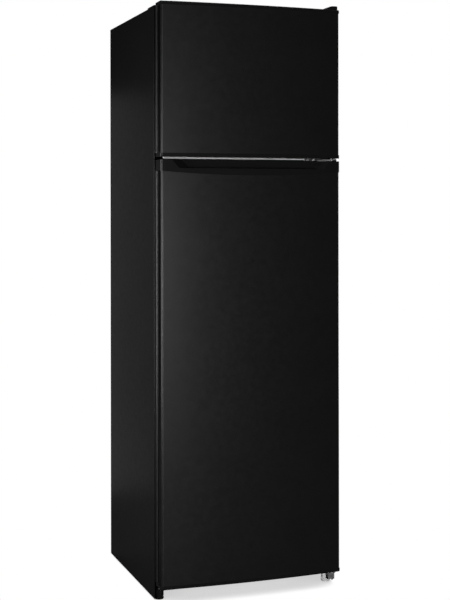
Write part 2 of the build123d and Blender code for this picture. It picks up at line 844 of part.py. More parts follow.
with BuildPart() as hinge_cover:
    cover_front = hinge_y - hinge_eye - cover_margin - cover_wall
    cover_back = cabinet_front + trim_depth
    overhang_low = upper_top + cover_gap
    extrude(hump_face(cabinet_front, overhang_low, 0), amount=cabinet_front - cover_front)
    front_edges = hinge_cover.faces().sort_by(Axis.Y)[0].edges().sort_by(Axis.Z)[1:]
    fillet(front_edges, cover_front_round)
    extrude(hump_face(cover_back, cabinet_top, 0), amount=cover_back - cabinet_front)
    space_back = cover_back - cover_wall
    skirt_front = cabinet_front + cover_wall
    inner_front = cover_front + cover_wall
    rear_space = hump_face(space_back, cabinet_top, cover_wall)
    extrude(rear_space, amount=space_back - skirt_front, mode=Mode.SUBTRACT)
    front_space = hump_face(skirt_front, overhang_low, cover_wall)
    extrude(front_space, amount=skirt_front - inner_front, mode=Mode.SUBTRACT)
save(hinge_cover, "hinge_cover")

with BuildPart() as hinge_screws:
    for step in (0.5, 1.5):
        screw_x = flange_left + step * (middle_flange_reach - hinge_arm) / 2
        rod_along_y(screw_x, flange_front - screw_head_height, flange_front, door_split, screw_head)
        screw_x = top_plate_left + step * top_plate_width / 2
        screw_y = (riser_back + plate_back) / 2
        screw_base = cabinet_top + top_plate
        post(screw_x, screw_y, screw_base, screw_base + screw_head_height, screw_head)
        screw_y = cabinet_front + step * rail_web / 2
        screw_top = pad_bottom - hinge_plate
        post(pad_left + screw_edge, screw_y, screw_top - screw_head_height, screw_top, screw_head)
save(hinge_screws, "hinge_screws")

# Front rail and feet
with BuildPart() as front_rail:
    rail_low = rail_top - rail_sheet
    rail_back = cabinet_front + rail_depth
    web_back = pad_back + rail_sheet
    block(-shell_inner, shell_inner, frame_back, rail_back, rail_low, rail_top)
    block(-shell_inner, shell_inner, pad_back, web_back, rail_bottom, rail_low)
    for side in (-1, 1):
        block(side * pad_left, side * pad_right, frame_back, pad_back, pad_bottom, rail_low)
        bore = stem_radius + stem_clearance
        post(side * foot_x, foot_y, pad_bottom, rail_top, bore, Mode.SUBTRACT)
save(front_rail, "front_rail")


def make_foot(name, side):
    """Levelling foot: round base and the stem that turns in the rail's pad."""
    with BuildPart() as foot:
        post(side * foot_x, foot_y, 0, foot_height, foot_radius)
        chamfer(foot.edges().group_by(Axis.Z)[-1], foot_chamfer)
        post(side * foot_x, foot_y, foot_height, rail_top - stem_end_gap, stem_radius)
    save(foot, name)


make_foot("left_foot", -1)
make_foot("right_foot", 1)

# Base plate under the compressor, with the rollers' forks and pins
fork_inner = roller_width / 2 + fork_gap
fork_outer = fork_inner + plate_sheet
stud_places = [(compressor_x + sx * stud_spread / 2, compressor_y + sy * stud_depth / 2)
               for sx in (-1, 1) for sy in (-1, 1)]

with BuildPart() as base_plate:
    plate_front = machine_front + plate_lip
    plate_rear = cabinet_back - plate_lip / 2
    block(-shell_inner, shell_inner, plate_front, plate_rear, plate_level, plate_top)
    for side in (-1, 1):
        lip_inner = side * (shell_inner - plate_sheet)
        block(side * shell_inner, lip_inner, plate_front, plate_rear, plate_top, plate_top + plate_lip)
        for arm_side in (-1, 1):
            x0 = side * roller_x + arm_side * fork_inner
            x1 = side * roller_x + arm_side * fork_outer
            fork_low = roller_radius - 2 * axle_radius
            fork_front = roller_y - roller_radius
            fork_back = roller_y + roller_radius
            block(x0, x1, fork_front, fork_back, fork_low, plate_level)
        pin_x0 = side * roller_x - fork_outer
        pin_x1 = side * roller_x + fork_outer
        rod_along_x(pin_x0, pin_x1, roller_y, roller_radius, axle_radius)
    for stud_x, stud_y in stud_places:
        post(stud_x, stud_y, plate_top, shell_bottom + stud_rise, stud_radius)
save(base_plate, "base_plate")


def make_roller(name, side):
    """Rear roller on its pin."""
    x0 = side * roller_x - roller_width / 2
    x1 = side * roller_x + roller_width / 2
    with BuildPart() as roller:
        rod_along_x(x0, x1, roller_y, roller_radius, roller_radius)
        chamfer(roller.edges(), roller_chamfer)
        rod_along_x(x0, x1, roller_y, roller_radius, axle_radius + axle_clearance, Mode.SUBTRACT)
    save(roller, name)


make_roller("left_roller", -1)
make_roller("right_roller", 1)

# Compressor and what hangs on it
with BuildPart() as compressor_grommets:
    stud_hole = stud_radius + stud_clearance
    grommet_top = plate_top + grommet_height
    for stud_x, stud_y in stud_places:
        post(stud_x, stud_y, plate_top, grommet_top, grommet_radius)
        post(stud_x, stud_y, plate_top, grommet_top, stud_hole, Mode.SUBTRACT)
save(compressor_grommets, "compressor_grommets")

stub_x = compressor_x - compressor_length / 2 - stub_length

with BuildPart() as compressor:
    with BuildSketch(Plane.XY.offset(shell_bottom)) as shell:
        with Locations((compressor_x, compressor_y)):
            SlotOverall(compressor_length, compressor_breadth)
    extrude(shell.sketch, amount=compressor_height)
    fillet(compressor.edges().group_by(Axis.Z)[-1], dome_round)
    fillet(compressor.edges().group_by(Axis.Z)[0], sump_round)
    with BuildSketch(Plane.XY.offset(shell_bottom + weld_rise)) as weld:
        with Locations((compressor_x, compressor_y)):
            SlotOverall(compressor_length + 2 * weld_flange, compressor_breadth + 2 * weld_flange)
    extrude(weld.sketch, amount=weld_height)
    foot_x0 = compressor_x - stud_spread / 2 - foot_plate_margin
    foot_x1 = compressor_x + stud_spread / 2 + foot_plate_margin
    foot_half = stud_depth / 2 + grommet_radius
    foot_low = shell_bottom - foot_plate
    block(foot_x0, foot_x1, compressor_y - foot_half, compressor_y + foot_half, foot_low, shell_bottom)
    for stud_x, stud_y in stud_places:
        post(stud_x, stud_y, foot_low, shell_bottom, stud_hole, Mode.SUBTRACT)
    rod_along_x(stub_x, compressor_x, compressor_y, discharge_level, tube_radius)
    rod_along_x(stub_x, compressor_x, compressor_y, suction_level, suction_radius)
save(compressor, "compressor")

with BuildPart() as starter_box:
    box_x = compressor_x + compressor_length / 2 + weld_flange
    box_low = shell_bottom + starter_rise
    half_starter = starter_width / 2
    box_front = compressor_y - half_starter
    box_back = compressor_y + half_starter
    block(box_x, box_x + starter_depth, box_front, box_back, box_low, box_low + starter_height)
    fillet(starter_box.edges().filter_by(Axis.X), starter_round)
    gland_z = box_low + starter_height / 2
    gland_x = box_x + starter_depth / 2
    rod_along_y(gland_x, box_back, box_back + gland_length, gland_z, gland_radius)
    rod_along_y(gland_x, box_back, box_back + gland_length, gland_z, gland_bore, Mode.SUBTRACT)
save(starter_box, "starter_box")

with BuildPart() as drip_tray:
    half_length = tray_length / 2
    half_breadth = tray_breadth / 2
    tray_x0 = compressor_x - half_length
    tray_x1 = compressor_x + half_length
    tray_y0 = compressor_y - half_breadth
    tray_y1 = compressor_y + half_breadth
    tray_top = shell_top + tray_height
    block(tray_x0, tray_x1, tray_y0, tray_y1, shell_top, tray_top)
    fillet(drip_tray.edges().filter_by(Axis.Z), tray_round)
    offset(amount=-tray_wall, openings=drip_tray.faces().sort_by(Axis.Z)[-1])
save(drip_tray, "drip_tray")

with BuildPart() as drain_tube:
    tube_low = shell_top + tray_wall + drain_end_gap
    tube_high = step_top - liner_wall
    post(compressor_x, compressor_y, tube_low, tube_high, drain_radius)
    post(compressor_x, compressor_y, tube_low, tube_high, drain_radius - drain_wall, Mode.SUBTRACT)
save(drain_tube, "drain_tube")


# Condenser and pipes
def pipe(points, radius, bend):
    """Round pipe along straight runs joined by bends."""
    start = Vector(*points[0])
    with BuildLine(mode=Mode.PRIVATE) as path:
        FilletPolyline(*points, radius=bend)
    with BuildSketch(Plane(origin=start, z_dir=Vector(*points[1]) - start)) as section:
        Circle(radius)
    sweep(section.sketch, path=path.wires()[0])


riser_x = -half_width + riser_margin
tail_x = run_half - tube_bend
condenser_route = [(stub_x, compressor_y, discharge_level), (riser_x, compressor_y, discharge_level),
                   (riser_x, condenser_y, discharge_level), (riser_x, condenser_y, top_run)]
for run in range(run_count):
    run_z = top_run - run_pitch * run
    ends = (-run_half, run_half) if run % 2 == 0 else (run_half, -run_half)
    if run > 0:
        condenser_route.append((ends[0], condenser_y, run_z))
    if run < run_count - 1:
        condenser_route.append((ends[1], condenser_y, run_z))
condenser_route += [(tail_x, condenser_y, bottom_run), (tail_x, condenser_y, drier_top)]

with BuildPart() as condenser_tube:
    pipe(condenser_route, tube_radius, tube_bend)
save(condenser_tube, "condenser_tube")

with BuildPart() as condenser_wires:
    wire_half = run_half - tube_bend - wire_pitch
    wire_count = 2 * int(wire_half / wire_pitch) + 1
    wire_low = bottom_run - wire_overhang
    wire_high = top_run + wire_overhang
    wire_step = tube_radius + wire_radius + wire_clearance
    for i in range(wire_count):
        wire_x = (i - (wire_count - 1) / 2) * wire_pitch
        for face in (-1, 1):
            post(wire_x, condenser_y + face * wire_step, wire_low, wire_high, wire_radius)
save(condenser_wires, "condenser_wires")

with BuildPart() as condenser_clips:
    rear = cabinet_back + rear_reach
    for side in (-1, 1):
        for run_z in (bottom_run, top_run):
            clip_left = side * clip_x - clip_width / 2
            clip_right = side * clip_x + clip_width / 2
            clip_low = run_z - clip_height / 2
            block(clip_left, clip_right, cabinet_back, rear, clip_low, clip_low + clip_height)
            hole = tube_radius + wire_clearance
            rod_along_x(clip_left, clip_right, condenser_y, run_z, hole, Mode.SUBTRACT)
save(condenser_clips, "condenser_clips")

ceiling_level = machine_height - sheet
drier_low = drier_top - drier_length
capillary_low = drier_low - capillary_drop

with BuildPart() as pipes_and_drier:
    post(tail_x, condenser_y, drier_low, drier_top, drier_radius)
    fillet(pipes_and_drier.edges(), drier_round)
    pipe([(tail_x, condenser_y, drier_low), (tail_x, condenser_y, capillary_low),
          (tail_x, compressor_y, capillary_low), (tail_x, compressor_y, ceiling_level)],
         capillary_radius, capillary_bend)
    pipe([(stub_x, compressor_y, suction_level), (suction_x, compressor_y, suction_level),
          (suction_x, compressor_y, ceiling_level)], suction_radius, suction_bend)
save(pipes_and_drier, "pipes_and_drier")


# Shelves and drawers
def make_shelf(name, level):
    """Glass plate that lies on the ribs of the side walls."""
    with BuildPart() as shelf:
        block(-shelf_half, shelf_half, shelf_front, shelf_back, level, level + shelf_glass)
    save(shelf, name)


make_shelf("crisper_cover", crisper_level)
for number, shelf_level in enumerate(shelf_levels, 1):
    make_shelf(f"glass_shelf_{number}", shelf_level)

with BuildPart() as shelf_trims:
    for level in [crisper_level] + shelf_levels:
        low = level - trim_rise
        high = level + shelf_glass + trim_rise
        block(-shelf_half, shelf_half, shelf_front - trim_face, shelf_front, low, high)
        block(-shelf_half, shelf_half, shelf_front, shelf_front + trim_lip, low, level)
save(shelf_trims, "shelf_trims")

with BuildPart() as freezer_shelf:
    rack_half = freezer_half - shelf_side_gap
    rack_top = wire_shelf_level + shelf_wire
    rack_back = shelf_back - shelf_wire
    for bar_y in (shelf_front, (shelf_front + rack_back) / 2, rack_back):
        block(-rack_half, rack_half, bar_y, bar_y + shelf_wire, wire_shelf_level, rack_top)
    for i in range(shelf_wire_count):
        bar_x = -rack_half + (2 * rack_half - shelf_wire) * i / (shelf_wire_count - 1)
        block(bar_x, bar_x + shelf_wire, shelf_front, shelf_back, wire_shelf_level, rack_top)
save(freezer_shelf, "freezer_shelf")

drawer_top = crisper_level - drawer_headroom
drawer_low = fridge_low + drawer_rest
drawer_back = step_front - drawer_gap
drawer_outer = fridge_half - rib_depth - drawer_gap


def make_drawer(name, side):
    """Crisper drawer with a pull along the top of its front."""
    x0 = side * drawer_gap / 2
    x1 = side * drawer_outer
    with BuildPart() as drawer:
        block(x0, x1, shelf_front, drawer_back, drawer_low, drawer_top)
        fillet(drawer.edges().filter_by(Axis.Z), drawer_round)
        offset(amount=-drawer_wall, openings=drawer.faces().sort_by(Axis.Z)[-1])
        pull_x0 = x0 + side * drawer_round
        pull_x1 = x1 - side * drawer_round
        pull_low = drawer_top - drawer_pull_height
        block(pull_x0, pull_x1, shelf_front - drawer_pull, shelf_front, pull_low, drawer_top)
        pull_top = drawer_top - drawer_wall
        inner_y = shelf_front - drawer_pull + drawer_wall
        block(pull_x0, pull_x1, inner_y, shelf_front, pull_low, pull_top, Mode.SUBTRACT)
    save(drawer, name)


make_drawer("left_crisper", -1)
make_drawer("right_crisper", 1)

# Control box with lamp, knob and door switch
switch_z = fridge_ridge_high - switch_drop
knob_x = -control_left + knob_offset
knob_z = control_bottom + control_height / 2
lens_x = (control_right - control_left) / 2
lens_y = control_front + control_depth / 2

with BuildPart() as control_box:
    control_back = control_front + control_depth
    block(-control_left, control_right, control_front, control_back, control_bottom, fridge_high)
    fillet(control_box.faces().sort_by(Axis.Z)[0].edges(), control_round)
    space_left = -control_left + control_wall
    space_right = control_right - control_wall
    space_front = control_front + control_wall
    space_rear = control_back - control_wall
    space_low = control_bottom + control_wall
    block(space_left, space_right, space_front, space_rear, space_low, fridge_high, Mode.SUBTRACT)
    lens_x0 = lens_x - lens_length / 2
    lens_x1 = lens_x + lens_length / 2
    lens_y0 = lens_y - lens_width / 2
    lens_y1 = lens_y + lens_width / 2
    block(lens_x0, lens_x1, lens_y0, lens_y1, control_bottom, space_low, Mode.SUBTRACT)
    shaft_bore = knob_shaft + knob_clearance
    rod_along_y(knob_x, control_front, space_front, knob_z, shaft_bore, Mode.SUBTRACT)
    switch_bore = switch_radius + switch_clearance
    rod_along_y(switch_x, control_front, space_front, switch_z, switch_bore, Mode.SUBTRACT)
save(control_box, "control_box")

with BuildPart() as lamp_lens:
    block(lens_x0, lens_x1, lens_y0, lens_y1, control_bottom - lens_edge, space_low)
    fillet(lamp_lens.faces().sort_by(Axis.Z)[0].edges(), lens_round)
    rim_x0 = lens_x0 - lens_edge
    rim_x1 = lens_x1 + lens_edge
    rim_y0 = lens_y0 - lens_edge
    rim_y1 = lens_y1 + lens_edge
    block(rim_x0, rim_x1, rim_y0, rim_y1, space_low, space_low + control_wall)
save(lamp_lens, "lamp_lens")

with BuildPart() as thermostat_knob:
    knob_back = control_front - collar_clearance
    knob_front = knob_back - knob_height
    rod_along_y(knob_x, knob_front, knob_back, knob_z, knob_radius)
    fillet(thermostat_knob.edges().group_by(Axis.Y)[0], knob_round)
    grip_back = knob_front + knob_height / 2
    knob_low = knob_z - knob_radius
    knob_high = knob_z + knob_radius
    for side in (-1, 1):
        grip_outer = knob_x + side * knob_radius
        grip_inner = knob_x + side * knob_grip / 2
        block(grip_inner, grip_outer, knob_front, grip_back, knob_low, knob_high, Mode.SUBTRACT)
    rod_along_y(knob_x, knob_back, space_front + knob_height, knob_z, knob_shaft)
save(thermostat_knob, "thermostat_knob")

with BuildPart() as light_switch:
    switch_tip = door_liner_back + dike_depth + seal_clearance
    rod_along_y(switch_x, switch_tip, space_front + switch_stem, switch_z, switch_radius)
    fillet(light_switch.edges().group_by(Axis.Y)[0], switch_round)
save(light_switch, "light_switch")
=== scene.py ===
import json
import math

import bmesh
import bpy
from mathutils import Matrix, Vector


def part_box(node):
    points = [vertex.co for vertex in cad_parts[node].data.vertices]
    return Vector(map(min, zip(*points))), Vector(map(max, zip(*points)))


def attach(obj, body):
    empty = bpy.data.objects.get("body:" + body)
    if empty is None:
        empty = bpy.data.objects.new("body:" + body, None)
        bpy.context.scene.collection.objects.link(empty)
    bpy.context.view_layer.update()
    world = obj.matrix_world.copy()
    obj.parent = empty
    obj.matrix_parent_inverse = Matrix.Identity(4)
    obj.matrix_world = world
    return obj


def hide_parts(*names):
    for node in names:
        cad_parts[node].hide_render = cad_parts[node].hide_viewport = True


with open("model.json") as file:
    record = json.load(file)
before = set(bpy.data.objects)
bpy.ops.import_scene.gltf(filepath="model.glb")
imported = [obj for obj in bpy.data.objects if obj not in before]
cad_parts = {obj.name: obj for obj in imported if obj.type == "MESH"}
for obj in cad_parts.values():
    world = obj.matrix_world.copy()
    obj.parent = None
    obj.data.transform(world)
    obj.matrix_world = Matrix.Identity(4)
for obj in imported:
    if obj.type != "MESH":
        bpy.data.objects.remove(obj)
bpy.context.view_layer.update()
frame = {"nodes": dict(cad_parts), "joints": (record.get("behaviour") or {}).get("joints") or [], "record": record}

nodes_of = frame["nodes"]
slot_of = {row["node"]: row["material_slot"] for row in frame["record"]["subparts"]}
scene = bpy.context.scene

MM = 0.001

# Ways that a piece or a place may face
UP, DOWN = (0, 0, 1), (0, 0, -1)
FRONT, BACK = (0, -1, 0), (0, 1, 0)
RIGHT, LEFT = (1, 0, 0), (-1, 0, 0)

# Camera read from the photograph: metres, degrees and pixels of the 450 by 600 frame
IMAGE_HEIGHT = 600
CAMERA_PLACE = (-1.312, -3.7746, 1.155)
CAMERA_YAW = 19.432
CAMERA_ROLL = -0.075
FOCAL_PIXELS = 1249.0
HORIZON_PIXEL = 207.8
SENSOR = 36.0

# Strengths of the room's light, in general and in reflections, and how steeply upward a reflected ray has to
# go for the room's white ceiling to begin and to be full
ROOM = 0.1
DARK_ROOM = 0.012
CEILING_START = 0.82
CEILING_FULL = 0.97

# Depths on a door, in metres: where its side, which takes painted shade, begins at the front corner, and where it
# ends at the back lip
DOOR_CORNER = (-0.297, -0.292)
DOOR_LIP = (-0.2665, -0.2645)

# Heights on the divider, in metres: where the band of painted shade under its strip begins and ends, and its soft
# edge
STRIP_SHADE_BAND = (1.2965, 1.3006)
SHADE_BAND_EDGE = 0.0003

# Places that the details take from the frame, in millimetres, and the knob's swing each way in degrees
divider_low, divider_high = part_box("divider_bar")
DIVIDER_LEVEL = (divider_low[2] + divider_high[2]) / 2 / MM
DIVIDER_FACE = divider_low[1] / MM
BACK_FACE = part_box("back_panel")[1][1] / MM
BASE_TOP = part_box("compressor_grommets")[0][2] / MM
TRIM_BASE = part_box("top_trim")[0][2] / MM
knob_joint = next(joint for joint in frame["joints"] if joint["name"] == "thermostat_turn")
DIAL_CENTRE = [place / MM for place in knob_joint["pos_m"]]
DIAL_SWING = knob_joint["range_deg"][1]

# Radii of the screw heads, in millimetres
SCREW_RADIUS = 5.0
SMALL_SCREW_RADIUS = 4.0


# Node helpers
class Shading:
    """A material's node tree, with short ways to add to it."""

    def __init__(self, name):
        self.material = bpy.data.materials.new(name)
        self.material.use_nodes = True
        self.tree = self.material.node_tree
        self.shader = self.tree.nodes["Principled BSDF"]
        coordinates = self.add("ShaderNodeTexCoord")
        self.place = coordinates.outputs["Object"]
        self.normal = coordinates.outputs["Normal"]

    def add(self, kind, **sockets):
        """New node with its inputs set; an input given another node's output is linked to it."""
        node = self.tree.nodes.new(kind)
        for name, value in sockets.items():
            self.put(node.inputs[name.replace("_", " ")], value)
        return node

    def put(self, socket, value):
        """Set a socket to a constant, or link another node's output to it."""
        if isinstance(value, bpy.types.NodeSocket):
            self.tree.links.new(value, socket)
        else:
            socket.default_value = value

    def noise(self, scale, detail, stretch=None):
        """Noise over the surface, with scale in features per metre."""
        where = self.place
        if stretch:
            mapping = self.add("ShaderNodeMapping", Vector=where)
            mapping.inputs["Scale"].default_value = stretch
            where = mapping.outputs["Vector"]
        node = self.add("ShaderNodeTexNoise", Vector=where, Scale=scale, Detail=detail)
        return node.outputs["Fac"]

    def cells(self, scale):
        """Random value for each cell of a crystal pattern."""
        node = self.add("ShaderNodeTexVoronoi", Vector=self.place, Scale=scale)
        part = self.add("ShaderNodeSeparateColor", Color=node.outputs["Color"])
        return part.outputs["Red"]

    def spread(self, source, low, high, start=0.3, end=0.7):
        """Map a pattern's usual range to low and high."""
        node = self.add("ShaderNodeMapRange", Value=source)
        ends = (("From Min", start), ("From Max", end), ("To Min", low), ("To Max", high))
        for name, value in ends:
            node.inputs[name].default_value = value
        return node.outputs["Result"]

    def mix(self, factor, low, high):
        """Value or colour between two by a factor."""
        node = self.add("ShaderNodeMix")
        coloured = isinstance(high, tuple)
        node.data_type = "RGBA" if coloured else "FLOAT"
        kind = "RGBA" if coloured else "VALUE"
        sockets = [socket for socket in node.inputs if socket.type == kind and socket.enabled]
        if not coloured:
            sockets = sockets[1:]
        self.put(node.inputs["Factor"], factor)
        self.put(sockets[0], low)
        self.put(sockets[1], high)
        return next(socket for socket in node.outputs if socket.type == kind and socket.enabled)

    def blend(self, source, low, high):
        """Colour between two colours by a pattern."""
        return self.mix(source, (*low, 1), (*high, 1))

    def facing(self, axis, start=0.9, end=0.99):
        """One on faces square to an axis at rest, and nought on the others."""
        part = self.add("ShaderNodeSeparateXYZ", Vector=self.normal)
        size = self.add("ShaderNodeMath")
        size.operation = "ABSOLUTE"
        self.put(size.inputs[0], part.outputs[axis])
        return self.spread(size.outputs[0], 0, 1, start, end)

    def along(self, axis, start, end):
        """Nought to one between two places along an axis, in metres at rest."""
        part = self.add("ShaderNodeSeparateXYZ", Vector=self.place)
        return self.spread(part.outputs[axis], 0, 1, start, end)

    def bump(self, source, height, strength):
        """Raise the surface by a pattern, height in metres."""
        node = self.add("ShaderNodeBump", Height=source, Distance=height, Strength=strength)
        self.put(self.shader.inputs["Normal"], node.outputs["Normal"])

    def finish(self, **values):
        """Set the shader's own sockets and return the material."""
        for name, value in values.items():
            self.put(self.shader.inputs[name.replace("_", " ")], value)
        return self.material


def grey(level, warm=0.0):
    """Grey of one level, a little warmer or cooler."""
    return (level * (1 + warm), level, level * (1 - warm))


# Materials
def black_steel(name, returns=None):
    """Satin black paint with faint clouds and a fine orange peel, glossier on its returns and darkened there with
    painted shade.
    """
    paint = Shading(name)
    colour = paint.blend(paint.spread(paint.noise(7, 4), 0, 1), grey(0.0068), grey(0.0078))
    sheen = paint.spread(paint.noise(60, 4), 0.32, 0.37)
    paint.bump(paint.noise(420, 2), 0.0001, 0.3)
    if returns:
        # Painted shade: the returns are darkened nearly to black, as though lying in shade
        side = returns(paint)
        dark, gloss = (*grey(0.001), 1), 0.12
        colour = paint.mix(side, colour, dark)
        sheen = paint.mix(side, sheen, gloss)
    return paint.finish(Base_Color=colour, Roughness=sheen, Specular_IOR_Level=0.32)


def door_side(paint):
    """One on a door's side, between its front corner and the lip at its back, the span that takes painted shade.
    """
    return paint.mix(paint.along("Y", *DOOR_LIP), paint.along("Y", *DOOR_CORNER), 0.0)


def black_enamel():
    """Glossy black enamel with a thin film of dust."""
    paint = Shading("black_enamel")
    dust = paint.spread(paint.noise(35, 6), 0, 1)
    paint.bump(paint.noise(260, 3), 0.0002, 0.25)
    return paint.finish(Base_Color=paint.blend(dust, grey(0.012), grey(0.03, 0.03)),
                        Roughness=paint.spread(dust, 0.24, 0.42, 0, 1))


def plain_plastic(name, dark, light, low, high, grain=900.0, depth=0.00006, gloss=0.5, shade_band=None):
    """Moulded plastic or thick paint with a fine spark grain, and a band of painted shade where one is given.

    Its colour lies between dark and light, and its roughness between low and high.
    """
    plastic = Shading(name)
    flow = plastic.spread(plastic.noise(9, 4), 0, 1)
    plastic.bump(plastic.noise(grain, 2), depth, 0.5)
    colour = plastic.blend(flow, dark, light)
    if shade_band:
        # Painted shade: a near-black band on the divider under its strip, where the gap between the doors lies in
        # shade
        shade = (*grey(0.008), 1)
        colour = plastic.mix(shade_band(plastic), colour, shade)
    return plastic.finish(Base_Color=colour,
                          Roughness=plastic.spread(plastic.noise(120, 3), low, high),
                          Specular_IOR_Level=gloss)


def strip_groove(paint):
    """One in the band of painted shade under the divider's strip."""
    start, end = STRIP_SHADE_BAND
    above = paint.along("Z", end, end + SHADE_BAND_EDGE)
    return paint.mix(above, paint.along("Z", start - SHADE_BAND_EDGE, start), 0.0)


def clear_plastic():
    """Clear moulded plastic with a faint blue cast and flow marks."""
    plastic = Shading("clear_plastic")
    flow = plastic.noise(24, 3, (1, 1, 0.3))
    plastic.bump(flow, 0.0006, 0.3)
    tint = plastic.blend(plastic.spread(flow, 0, 1), (0.86, 0.92, 0.94), (0.93, 0.97, 0.98))
    return plastic.finish(Base_Color=tint,
                          Roughness=plastic.spread(plastic.noise(80, 4), 0.04, 0.11),
                          Transmission_Weight=0.9, IOR=1.49)


def shelf_glass():
    """Toughened glass with a green cast and light smears."""
    glass = Shading("shelf_glass")
    smear = glass.noise(14, 5, (1, 2.5, 1))
    glass.bump(glass.noise(6, 2), 0.0004, 0.1)
    tint = glass.blend(glass.spread(smear, 0, 1), (0.83, 0.94, 0.9), (0.9, 0.97, 0.95))
    return glass.finish(Base_Color=tint,
                        Roughness=glass.spread(smear, 0.0, 0.06), Transmission_Weight=0.95, IOR=1.5)


def galvanised(name, dark, light, low, high, shaded=False):
    """Zinc coated steel with crystal spangles; a shaded one has painted shade on its left and right sides.

    Its colour lies between dark and light, and its roughness between low and high.
    """
    zinc = Shading(name)
    crystal = zinc.cells(95)
    zinc.bump(zinc.noise(300, 3), 0.0001, 0.3)
    colour = zinc.blend(crystal, dark, light)
    if shaded:
        # Painted shade: faces square to X are darkened
        shade = (*grey(0.02), 1)
        colour = zinc.mix(zinc.facing("X"), colour, shade)
    return zinc.finish(Base_Color=colour, Metallic=0.6, Roughness=zinc.spread(crystal, low, high, 0, 1))


def drawn_metal(name, dark, light, low, high):
    """Drawn or rolled metal with level streaks, its roughness between low and high."""
    metal = Shading(name)
    streak = metal.spread(metal.noise(40, 5, (1, 1, 12)), 0, 1)
    metal.bump(metal.noise(500, 2), 0.00005, 0.3)
    return metal.finish(Base_Color=metal.blend(streak, dark, light), Metallic=1.0,
                        Roughness=metal.spread(streak, low, high, 0, 1))


def soft_rubber(name, dark, light):
    """Dull rubber or vinyl."""
    rubber = Shading(name)
    cloud = rubber.spread(rubber.noise(50, 4), 0, 1)
    rubber.bump(rubber.noise(700, 2), 0.00008, 0.4)
    return rubber.finish(Base_Color=rubber.blend(cloud, dark, light),
                         Roughness=rubber.spread(cloud, 0.55, 0.7, 0, 1))


def insulation():
    """Rigid foam with small open cells."""
    foam = Shading("foam")
    cell = foam.noise(700, 4)
    foam.bump(cell, 0.0008, 0.6)
    tint = foam.blend(foam.spread(cell, 0, 1), (0.62, 0.5, 0.26), (0.78, 0.66, 0.4))
    return foam.finish(Base_Color=tint, Roughness=0.85)


finishes = {
    "black_steel": black_steel("black_steel"),
    # Door skins carry painted shade on their sides, and side panels on their faces towards the front and back
    "door_steel": black_steel("door_steel", door_side),
    "side_steel": black_steel("side_steel", lambda paint: paint.facing("Y")),
    # The divider's pale paint, with a band of painted shade under its strip
    "grey_steel": plain_plastic("grey_steel", grey(0.9), grey(0.94), 0.34, 0.42, grain=420, depth=0.0001,
                                shade_band=strip_groove),
    "zinc_steel": galvanised("zinc_steel", grey(0.52), grey(0.7), 0.3, 0.46),
    "black_enamel": black_enamel(),
    # Hinge zinc with painted shade on its sides
    "hinge_steel": galvanised("hinge_steel", grey(0.3), grey(0.4), 0.3, 0.42, shaded=True),
    # A darker copy of the hinge zinc, whose colour is painted shade for the middle hinge in the gap between the
    # doors
    "hinge_steel_painted_shade": galvanised("hinge_steel_painted_shade", grey(0.13), grey(0.2), 0.34, 0.46, shaded=True),
    "black_plastic": plain_plastic("black_plastic", grey(0.0085), grey(0.0095), 0.13, 0.17,
                                   grain=700, depth=0.00002, gloss=0.2),
    "white_plastic": plain_plastic("white_plastic", grey(0.78, 0.01), grey(0.81, 0.008), 0.28, 0.34,
                                   grain=500, depth=0.00002),
    "grey_plastic": plain_plastic("grey_plastic", grey(0.3), grey(0.36), 0.45, 0.55),
    "pale_plastic": plain_plastic("pale_plastic", grey(0.84), grey(0.88), 0.45, 0.55),
    "clear_plastic": clear_plastic(),
    "foam": insulation(),
    "seal_rubber": soft_rubber("seal_rubber", grey(0.03), grey(0.04)),
    "black_rubber": soft_rubber("black_rubber", grey(0.012), grey(0.02)),
    "shelf_glass": shelf_glass(),
    "copper": drawn_metal("copper", (0.52, 0.24, 0.13), (0.72, 0.38, 0.22), 0.25, 0.45),
    "aluminium": drawn_metal("aluminium", grey(0.66), grey(0.76), 0.3, 0.42),
}


def dress(piece, finish):
    """Give a piece one finish all over."""
    piece.data.materials.clear()
    piece.data.materials.append(finish)


for name, piece in nodes_of.items():
    dress(piece, finishes[slot_of[name]])
for name in ("freezer_door_skin", "fridge_door_skin"):
    dress(nodes_of[name], finishes["door_steel"])
for name in ("left_side_panel", "right_side_panel"):
    dress(nodes_of[name], finishes["side_steel"])
# The middle hinge, in the gap between the doors, takes the darker zinc: painted shade
dress(nodes_of["middle_hinge"], finishes["hinge_steel_painted_shade"])


# Helpers for the modelled details, which have sizes and places in millimetres
def add_piece(name, shape, slot, body="cabinet", finish=None, replaces=None, smooth=35):
    """Make a shape into a piece that rides on a body and may stand for a CAD node."""
    bmesh.ops.recalc_face_normals(shape, faces=shape.faces)
    mesh = bpy.data.meshes.new(name)
    shape.to_mesh(mesh)
    shape.free()
    mesh.shade_smooth()
    mesh.set_sharp_from_angle(angle=math.radians(smooth))
    piece = bpy.data.objects.new(name, mesh)
    scene.collection.objects.link(piece)
    dress(piece, finishes[finish or slot])
    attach(piece, body)
    if replaces:
        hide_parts(replaces)


def seat(place, way):
    """Transform from a frame in millimetres, whose Z is the way, to the model's metres."""
    turn = Vector(UP).rotation_difference(Vector(way)).to_matrix().to_4x4()
    return Matrix.Scale(MM, 4) @ Matrix.Translation(place) @ turn


def ring(shape, where, points):
    """New points of a closed loop."""
    return [shape.verts.new(where @ Vector(point)) for point in points]


def join(shape, loops):
    """Faces between each closed loop and the next."""
    for one, two in zip(loops, loops[1:]):
        for here in range(len(one)):
            after = (here + 1) % len(one)
            shape.faces.new((one[here], one[after], two[after], two[here]))


def turned(shape, where, rings, steps=48, capped=True):
    """Add a round form from rings of (radius, height); a pair of radii makes ribs."""
    loops = []
    for radius, height in rings:
        pair = radius if isinstance(radius, tuple) else (radius, radius)
        points = []
        for step in range(steps):
            angle = 2 * math.pi * step / steps
            radial = pair[step // 2 % 2]
            points.append((radial * math.cos(angle), radial * math.sin(angle), height))
        loops.append(ring(shape, where, points))
    join(shape, loops)
    shape.faces.new(loops[0])
    if capped:
        shape.faces.new(loops[-1])
    return loops[-1]


